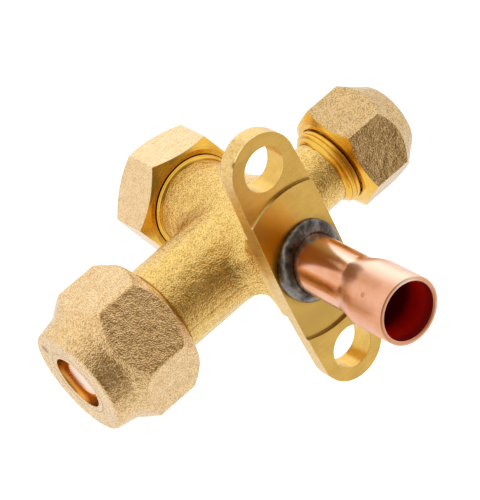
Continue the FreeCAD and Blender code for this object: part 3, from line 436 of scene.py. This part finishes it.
def beaded_ring(name, collar, finish, on_ports=False):
    """The turned beads of a collar, on a closed ring that sinks into it."""
    inner, outer, foot, top, width = collar

    def spot(row, turn):
        if row >= BEAD_ROWS:
            return (foot - COLLAR_SUNK, inner) if row == BEAD_ROWS else (foot + COLLAR_SUNK, outer)
        along = outer + (inner - outer) * row / (BEAD_ROWS - 1)
        bead = abs(sin(pi * (inner - along) / width))
        return min(foot + inner - along, top) + BEAD_LIFT + BEAD_HEIGHT * bead, along

    ring = add_piece(name, ring_skin(name, BEAD_ROWS + 2, RING_STEPS, spot, on_ports), finish)
    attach(ring, "valve")


service_collar = turned("service_collar", COLLAR_GOLD, COLLAR_DEEP, "x", collar=SERVICE_COLLAR)
stem_collar = turned("stem_collar", COLLAR_GOLD, COLLAR_DEEP, "y", collar=STEM_COLLAR)
dress("valve_body", {
    "skin": blasted("body_blasted", FORGED_GOLD, GRAIN_DEEP, depth=0.1, pressed=parting_line),
    "edge": sheared("flange_edge"),
    "face": milled("flange_face"),
    "step": stepped("flange_steps"),
    "turned": turned("body_turned", TURNED_GOLD, FORGED_DEEP, "x"),
    "stem_collar": stem_collar,
    "service_collar": service_collar,
    "flare_thread": turned("flare_port_thread", TURNED_GOLD, FORGED_DEEP, "x", FLARE_PITCH),
    "service_thread": turned("service_port_thread", TURNED_GOLD, FORGED_DEEP, "x", SERVICE_PITCH),
    "stem_thread": turned("stem_port_thread", TURNED_GOLD, FORGED_DEEP, "y", STEM_PITCH),
}, body_place)
beaded_ring("service_beads", SERVICE_COLLAR, service_collar, on_ports=True)
beaded_ring("stem_beads", STEM_COLLAR, stem_collar)

# Copper connection tube: drawn copper, swaged open at its outer end over a tool that left the
# crease a little uneven. It has fine lines along it, a few stains, a painted highlight streak
# along one side, and a bore painted red with the light that bounces inside it.
TUBE_RADIUS = 4.76
TUBE_WALL = 0.78
TUBE_START = -4.9
TUBE_END = 24.8
BELL_RADIUS = 5.66
SWAGE_START = 12.7
SWAGE_LENGTH = 4.8
SWAGE_ROWS = 52
SWAGE_ROW = 0.15
WAIST_DEPTH = 0.03
WAIST_REACH = 2.5
RIM_ROUND = 0.14
BORE_BAND = 21.0
WORKED = (11.0, 15.0)
# The turn from +X towards +Z at which a highlight streak is painted on the bell and on the tube, and
# how far it reaches.
BELL_HIGHLIGHT, TUBE_HIGHLIGHT = (1.95, 0.75), (1.7, 0.3)
# Each stain's height on the tube, its degrees round it and its radius.
STAINS = ((13.75, 38, 0.5), (15.6, 28, 0.55), (19.8, 51, 0.4))
COPPER_PALE = (0.86, 0.47, 0.31)
COPPER_DEEP = (0.76, 0.34, 0.17)
COPPER_HIGHLIGHT = (1.0, 0.83, 0.68)
STAIN_BROWN = (0.34, 0.13, 0.07)
BORE_LIGHT_RED = (0.85, 0.015, 0.008)
BORE_SHADE_RED = (0.22, 0.004, 0.003)


def tube_radius(height, turn):
    """Outer radius of the tube: straight, drawn in a little at the crease, then belled."""
    crease = SWAGE_START + 0.22 * sin(2 * turn + 0.4) + 0.16 * sin(3 * turn - 1.2)
    opened = min(max((height - crease) / SWAGE_LENGTH, 0), 1)
    waist = WAIST_DEPTH * max(0, 1 - abs(height - crease) / WAIST_REACH) ** 2
    return TUBE_RADIUS - waist + (BELL_RADIUS - TUBE_RADIUS) * sin(opened * pi / 2) ** 1.6


swage_heights = [SWAGE_START - 2 + SWAGE_ROW * step for step in range(SWAGE_ROWS)]
wall_heights = [TUBE_START, 0, 6, *swage_heights, 22, TUBE_END - RIM_ROUND]
tube_rows = [
    *((height, 0) for height in wall_heights),
    (TUBE_END - RIM_ROUND * 0.3, RIM_ROUND * 0.3),
    (TUBE_END, RIM_ROUND),
    (TUBE_END, TUBE_WALL - RIM_ROUND),
    (TUBE_END - RIM_ROUND * 0.3, TUBE_WALL - RIM_ROUND * 0.3),
    *((height, TUBE_WALL) for height in reversed(wall_heights)),
]


def tube_spot(row, turn):
    height, depth = tube_rows[row]
    return tube_radius(height, turn) - depth, height


def drawn_copper(name, pale=COPPER_PALE, deep=COPPER_DEEP, stained_and_streaked=False):
    """Bright copper with fine drawing lines; the tube's has stains and a painted highlight streak
    along one side.
    """
    finish = Finish(name, Metallic=1.0, Coat_Weight=0.12, Coat_Roughness=0.2)
    lines = finish.noise(0.35, detail=3.0, stretch=(1, 0.05, 1))
    cloud = finish.noise(4.0, detail=3.0)
    worked = finish.y.smooth(*WORKED)
    tint = (lines * 0.25 + cloud * 0.75).smooth(0.3, 0.7).between(deep, pale)
    if stained_and_streaked:
        # A highlight streak painted along one side of the tube and the bell.
        turn = finish.z.maths("ARCTAN2", finish.x)
        belled = finish.y.smooth(SWAGE_START, SWAGE_START + SWAGE_LENGTH)
        painted_streak = belled * turn.near(*BELL_HIGHLIGHT) + (1 - belled) * turn.near(*TUBE_HIGHLIGHT)
        tint = (painted_streak * 0.7).between(tint, COPPER_HIGHLIGHT)
        for height, degrees, size in STAINS:
            angle = radians(degrees)
            radius = tube_radius(height, angle)
            off = finish.distance((radius * cos(angle), height, radius * sin(angle)))
            tint = (off.near(size * 0.6, size * 0.8) * 0.6).between(tint, STAIN_BROWN)
    normal = finish.bumps(cloud, 0.03, finish.wear(0.15))
    return finish.set(
        Base_Color=tint,
        Roughness=0.16 + lines * 0.1 + worked * 0.14,
        Normal=finish.bumps(lines, 0.004, normal))


def lit_red_bore(name):
    """The tube's bore: a dull red standing for light bounced inside the copper, with a ring of painted
    light inside the bell and painted shade deeper in.
    """
    finish = Finish(name, Metallic=0.2, Roughness=0.4)
    cloud = finish.noise(2.5, detail=3.0)
    # A ring of painted light inside the bell, painted shade deeper in.
    lit_band = finish.y.near(BORE_BAND, 4.0)
    return finish.set(
        Base_Color=(lit_band * 0.9 + cloud * 0.2).smooth(0.1, 1.0).between(BORE_SHADE_RED, BORE_LIGHT_RED),
        Normal=finish.bumps(cloud, 0.03, finish.wear(0.1)))


tube = add_piece(
    "swaged_tube", ring_skin("swaged_tube", len(tube_rows), RING_STEPS, tube_spot),
    drawn_copper("tube_copper", stained_and_streaked=True), lit_red_bore("tube_bore"))
first_bore_row = len(tube_rows) - len(wall_heights)
for face in tube.data.polygons:
    face.material_index = face.index % len(tube_rows) >= first_bore_row
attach(tube, "valve")
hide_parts("copper_tube")

# Braze fillet: filler metal that ran round the tube and froze in an uneven bead, dark with flux
# and oxide but glossy; it lies on the flange's face and climbs the tube, most of all below.
BRAZE_FOOT = 6.68
BRAZE_CLIMB = 1.85
BRAZE_SUNK = 0.1
BRAZE_LIFT = 0.03
BRAZE_ROWS = 12
BRAZE_STEPS = 120
FLANGE_HALF = 6.62
BRAZE_DARK = (0.05, 0.045, 0.045)
BRAZE_PEWTER = (0.30, 0.27, 0.25)
SEAM_SHADE = (0.02, 0.015, 0.01)


def braze_spot(row, turn):
    """From the foot on the flange, which stops at its flanks, round a hollow up to the tube."""
    waves = 0.08 * sin(3 * turn + 2.1) + 0.05 * sin(7 * turn + 0.3) - 0.33 * cos(2 * turn - 0.35)
    foot = min(BRAZE_FOOT + waves, FLANGE_HALF / max(abs(cos(turn)), 0.5))
    climb = BRAZE_CLIMB + 1.1 * cos(turn + 0.8) + 0.1 * sin(5 * turn)
    bend = row / (BRAZE_ROWS - 1) * pi / 2
    inside = TUBE_RADIUS - BRAZE_SUNK
    height = BRAZE_LIFT + (climb - BRAZE_LIFT) * sin(bend) ** 0.8
    return inside + (foot - inside) * cos(bend) ** 0.7, height


def braze_finish(name):
    """Frozen filler: lumps between near black and pewter, with painted shade in the crevice by the
    tube.
    """
    finish = Finish(name, Metallic=1.0)
    lumps = finish.noise(2.2)
    crust = finish.noise(0.5, detail=3.0)
    # Painted shade in the crevice where the braze meets the tube.
    seam_shade = 1 - finish.from_axis(finish.x, finish.z).smooth(TUBE_RADIUS, TUBE_RADIUS + 0.25)
    tint = (lumps * 0.85 + crust * 0.15).smooth(0.3, 0.7).between(BRAZE_DARK, BRAZE_PEWTER)
    normal = finish.bumps(lumps, 0.3, finish.wear(0.1))
    return finish.set(
        Base_Color=(seam_shade * 0.8).between(tint, SEAM_SHADE),
        Roughness=0.2 + crust * 0.2,
        Normal=finish.bumps(crust, 0.03, normal))


braze = add_piece(
    "braze_fillet", ring_skin("braze_fillet", BRAZE_ROWS, BRAZE_STEPS, braze_spot),
    braze_finish("braze_alloy"))
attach(braze, "valve")
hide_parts("braze_ring")

# Flare bonnet and stem cap washer: pressed from soft copper sheet. The nut clamps the bonnet
# over the port's cone, which it seals, and its turret, paler than the tube, shows in the nut.
PRESSED_PALE = (1.0, 0.74, 0.62)
PRESSED_DEEP = (0.95, 0.58, 0.42)

dress("flare_bonnet", {"copper": drawn_copper("pressed_copper", PRESSED_PALE, PRESSED_DEEP)})
dress("stem_cap_washer", {"copper": drawn_copper("drawn_copper")})

# Flare nut and both caps: forged hexagons, blasted to a duller and paler tan than the body,
# the service cap darkest, with their mouth bevels, bores and threads turned bright. The nut's
# bore is also painted a brighter orange, as painted light bouncing in the hole.
NOSE_FRONT = 38.68
NOSE_RING = 5.9
NOSE_DIMPLE = (38.6, -20.6, 4.8)
# Where each mouth bevel and each cap's floor ends, the radius of the opening and the thread's root.
NUT_MOUTH, NUT_OPENING, NUT_ROOT = 24.7, 9.5, 7.9
SERVICE_MOUTH, SERVICE_FLOOR, SERVICE_OPENING, SERVICE_CAP_ROOT = -19.45, -29.7, 7.2, 6.3
STEM_MOUTH, STEM_FLOOR, STEM_OPENING = -31.7, -38.2, 8.9
CAP_TAN = (0.94, 0.66, 0.34)
CAP_DEEP = (0.58, 0.36, 0.13)
CAP_PALE = (0.87, 0.62, 0.35)
CAP_DULL = (0.66, 0.45, 0.21)
SERVICE_TAN = (0.75, 0.51, 0.24)
SERVICE_DEEP = (0.42, 0.27, 0.10)
BORE_LIT_ORANGE = (0.97, 0.62, 0.20)


def nose_marks(finish):
    """A faint tool ring and a small dimple in the nut's front; their darkening is painted shade in the
    dents.
    """
    ring = finish.from_axis(finish.y + PORT_DEPTH, finish.z).near(NOSE_RING, 0.25) * 0.5
    dimple = 1 - finish.distance(NOSE_DIMPLE).smooth(0.6, 1.0)
    return ring.maths("MAXIMUM", dimple) * finish.x.smooth(NOSE_FRONT - 0.3, NOSE_FRONT - 0.1)


def nut_place(spot, normal):
    if spot.x < NUT_MOUTH and normal.x < -0.15 and off_port(spot) < NUT_OPENING:
        return "mouth"
    if not faces_port(spot, normal):
        return "skin"
    return "thread" if spot.x < FLARE_THREAD[1] and off_port(spot) > NUT_ROOT else "bore"


def service_cap_place(spot, normal):
    if spot.x > SERVICE_MOUTH and normal.x > 0.15:
        return "mouth"
    on_floor = normal.x > 0.5 and spot.x > SERVICE_FLOOR and off_port(spot) < SERVICE_OPENING
    if not (faces_port(spot, normal) or on_floor):
        return "skin"
    return "thread" if off_port(spot) > SERVICE_CAP_ROOT and abs(normal.x) < 0.2 else "bore"


def stem_cap_place(spot, normal):
    if spot.y > STEM_MOUTH and normal.y > 0.15:
        return "mouth"
    if spot.y < STEM_FLOOR or off_stem(spot) > STEM_OPENING:
        return "skin"
    return "thread" if abs(normal.y) < 0.2 else "bore"


dress("flare_nut", {
    "skin": blasted("nut_blasted", CAP_TAN, CAP_DEEP, depth=0.11, pressed=nose_marks),
    "mouth": turned("nut_mouth", TURNED_GOLD, FORGED_DEEP, "x"),
    # The nut's bore is painted a bright orange: painted light that bounces between the copper and the
    # brass in the hole.
    "bore": turned("nut_bore", BORE_LIT_ORANGE, COLLAR_GOLD, "x"),
    "thread": turned("flare_nut_thread", TURNED_GOLD, FORGED_DEEP, "x", FLARE_PITCH),
}, nut_place)
dress("service_cap", {
    "skin": blasted("service_cap_blasted", SERVICE_TAN, SERVICE_DEEP, depth=0.1),
    "mouth": turned("service_cap_mouth", COLLAR_GOLD, COLLAR_DEEP, "x"),
    "bore": turned("service_cap_bore", TURNED_GOLD, FORGED_DEEP, "x"),
    "thread": turned("service_cap_thread", TURNED_GOLD, FORGED_DEEP, "x", SERVICE_PITCH),
}, service_cap_place)
dress("stem_cap", {
    "skin": blasted("stem_cap_blasted", CAP_PALE, CAP_DULL, depth=0.045),
    "mouth": turned("stem_cap_mouth", COLLAR_GOLD, COLLAR_DEEP, "y"),
    "bore": turned("stem_cap_bore", TURNED_GOLD, FORGED_DEEP, "y"),
    "thread": turned("stem_cap_thread", TURNED_GOLD, FORGED_DEEP, "y", STEM_PITCH),
}, stem_cap_place)

# Stem and valve core: turned brass spindles that shut the pipe and the service port, with
# rubber and plastic seals, a snap ring and a wire spring, which the pressed pin shortens.
SPRING_FLOOR = -16.27
SPRING_TOP = -20.43
SPRING_TURNS = 5
SPRING_RADIUS = 1.02
WIRE_RADIUS = 0.13
WIRE_STEPS = 180
WIRE_SIDES = 10
RUBBER_PALE, RUBBER_DEEP = (0.03, 0.03, 0.032), (0.015, 0.015, 0.016)
PLASTIC_PALE, PLASTIC_DEEP = (0.82, 0.81, 0.78), (0.74, 0.72, 0.68)
STEEL_PALE, STEEL_DEEP = (0.62, 0.62, 0.64), (0.45, 0.45, 0.47)


def plain(name, pale, deep, grain, metallic, roughness):
    """Moulded rubber or plastic, or drawn wire, with a faint mottle."""
    finish = Finish(name, Metallic=metallic)
    mottle = finish.noise(grain)
    return finish.set(
        Base_Color=mottle.smooth(0.3, 0.7).between(deep, pale),
        Roughness=roughness + mottle * 0.1,
        Normal=finish.bumps(mottle, 0.01, finish.wear(0.05)))


def coil_skin(name):
    """A closed round wire, wound round the ports' line."""
    points, faces = [], []
    for step in range(WIRE_STEPS + 1):
        share = step / WIRE_STEPS
        turn = 2 * pi * SPRING_TURNS * share
        along = SPRING_FLOOR + (SPRING_TOP - SPRING_FLOOR) * share
        here, there = step * WIRE_SIDES, (step + 1) * WIRE_SIDES
        for side in range(WIRE_SIDES):
            bend = 2 * pi * side / WIRE_SIDES
            radius = SPRING_RADIUS + WIRE_RADIUS * cos(bend)
            points.append(Vector((
                along + WIRE_RADIUS * sin(bend),
                radius * cos(turn) - PORT_DEPTH,
                radius * sin(turn))) / MM)
            after = (side + 1) % WIRE_SIDES
            if step < WIRE_STEPS:
                faces.append((here + side, there + side, there + after, here + after))
    faces.append(tuple(range(WIRE_SIDES)))
    faces.append(tuple(reversed(range(WIRE_STEPS * WIRE_SIDES, (WIRE_STEPS + 1) * WIRE_SIDES))))
    return smooth_mesh(name, points, faces)


dress("stem", {"turned": turned("stem_turned", TURNED_GOLD, FORGED_DEEP, "y")})
core_turned = turned("core_turned", TURNED_GOLD, FORGED_DEEP, "x", rings=0.08)
for node in ("core_plug", "core_barrel", "core_pin", "core_cup"):
    dress(node, {"turned": core_turned})
rubber = plain("black_rubber", RUBBER_PALE, RUBBER_DEEP, grain=0.4, metallic=0.0, roughness=0.5)
for node in ("stem_o_ring", "service_cap_gasket", "core_seal"):
    dress(node, {"rubber": rubber})
sealing = plain("sealing_plastic", PLASTIC_PALE, PLASTIC_DEEP, grain=0.5, metallic=0.0, roughness=0.45)
for node in ("stem_backup_ring", "core_gasket"):
    dress(node, {"plastic": sealing})
steel = plain("spring_steel", STEEL_PALE, STEEL_DEEP, grain=0.5, metallic=1.0, roughness=0.25)
dress("stem_retaining_ring", {"steel": steel})
coil = add_piece("core_coil", coil_skin("core_coil"), steel)
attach(coil, "valve")
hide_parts("core_spring")
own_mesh(coil)

# Studio: a pale floor below the hung valve, white surroundings that are dim and warm on one
# side, as in a light tent with its front open to a room, and two soft lamps.
OPEN_SIDE = (0.152, 0.963, 0.223)
TENT_WHITE = (1.0, 1.0, 1.0)
ROOM_WARM = (1.0, 0.80, 0.55)
TENT_BRIGHT = 1.09
FRONT_LOSS = 0.88
FLOOR_HALF = 3
FLOOR_DEPTH = 0.075
FLOOR_PALE = (0.8, 0.8, 0.8, 1)
GLOW_DIM, GLOW_SEEN = (0.2, 0.2, 0.2), (0.6, 0.6, 0.6)


def floor_finish(name):
    """Pale matt floor that the camera sees as white; the metal shows the tent in its place."""
    finish = Finish(name, Base_Color=FLOOR_PALE, Roughness=0.9, Emission_Strength=1.0)
    nodes, links = finish.material.node_tree.nodes, finish.material.node_tree.links
    ray = nodes.new("ShaderNodeLightPath")
    finish.set(Emission_Color=Shade(ray.outputs["Is Camera Ray"]).between(GLOW_DIM, GLOW_SEEN))
    mirrored = finish.place.node("MixShader", {}, {
        0: Shade(ray.outputs["Is Glossy Ray"]),
        1: Shade(finish.shader.outputs["BSDF"]),
        2: Shade(nodes.new("ShaderNodeBsdfTransparent").outputs["BSDF"])}, output="Shader")
    links.new(mirrored.socket, nodes["Material Output"].inputs["Surface"])
    return finish.material


def soft_lamp(name, direction, distance, size, power):
    lamp = bpy.data.lights.new(name, "AREA")
    lamp.shape = "SQUARE"
    lamp.size = size
    lamp.energy = power
    lamp = bpy.data.objects.new(name, lamp)
    lamp.location = Vector(direction).normalized() * distance
    lamp.rotation_mode = "QUATERNION"
    lamp.rotation_quaternion = Vector(direction).to_track_quat("Z", "Y")
    bpy.context.scene.collection.objects.link(lamp)


near, far = -FLOOR_HALF, FLOOR_HALF
floor = bpy.data.meshes.new("floor")
floor.from_pydata(
    [(near, near, 0), (far, near, 0), (far, far, 0), (near, far, 0)], [], [(0, 1, 2, 3)])
floor = add_piece("floor", floor, floor_finish("pale_floor"))
floor.location.z = cad_box[0].z - FLOOR_DEPTH

world = bpy.data.worlds.new("light_tent")
bpy.context.scene.world = world
world.use_nodes = True
tent = world.node_tree.nodes
looking = Shade(tent.new("ShaderNodeTexCoord").outputs["Generated"])
seen = Shade(tent.new("ShaderNodeLightPath").outputs["Is Camera Ray"])
facing = looking.node(
    "VectorMath", {"operation": "DOT_PRODUCT"}, {0: looking, 1: OPEN_SIDE}, output="Value")
open_front = facing.smooth(0.3, 0.9)
colour = seen.between(open_front.between(TENT_WHITE, ROOM_WARM), TENT_WHITE)
strength = seen.maths("MAXIMUM", TENT_BRIGHT - open_front * FRONT_LOSS)
world.node_tree.links.new(colour.socket, tent["Background"].inputs["Color"])
world.node_tree.links.new(strength.socket, tent["Background"].inputs["Strength"])

soft_lamp("rear_lamp", direction=(-0.55, -0.75, 0.4), distance=0.8, size=0.6, power=0.35)
soft_lamp("side_lamp", direction=(-0.8, 0.5, 0.35), distance=0.8, size=0.5, power=0.15)

# Camera: where the photograph was taken from, about half a metre away with a long lens. Its
# place is given in millimetres to the right, down and back from the valve's origin.
CAMERA_LENS = 225.4
CAMERA_RIGHT = (-0.71678568, 0.59797192, -0.35867516)
CAMERA_DOWN = (0.62114918, 0.31383109, -0.71811123)
CAMERA_BACK = (0.3168, 0.7375, 0.5964)
CAMERA_STAND = (-10.938, -1.537, 494.81)

camera = bpy.data.objects.new("camera", bpy.data.cameras.new("camera"))
camera.data.lens = CAMERA_LENS
camera.data.sensor_width = 36
camera.data.clip_start = 0.01
camera.data.clip_end = 10
right, down, back = Vector(CAMERA_RIGHT), Vector(CAMERA_DOWN), Vector(CAMERA_BACK).normalized()
stand = (right * CAMERA_STAND[0] + down * CAMERA_STAND[1] + back * CAMERA_STAND[2]) / MM
camera.matrix_world = Matrix((
    (right.x, -down.x, back.x, stand.x),
    (right.y, -down.y, back.y, stand.y),
    (right.z, -down.z, back.z, stand.z),
    (0, 0, 0, 1),
))
bpy.context.scene.collection.objects.link(camera)
bpy.context.scene.camera = camera
bpy.context.scene.view_settings.view_transform = "Standard"
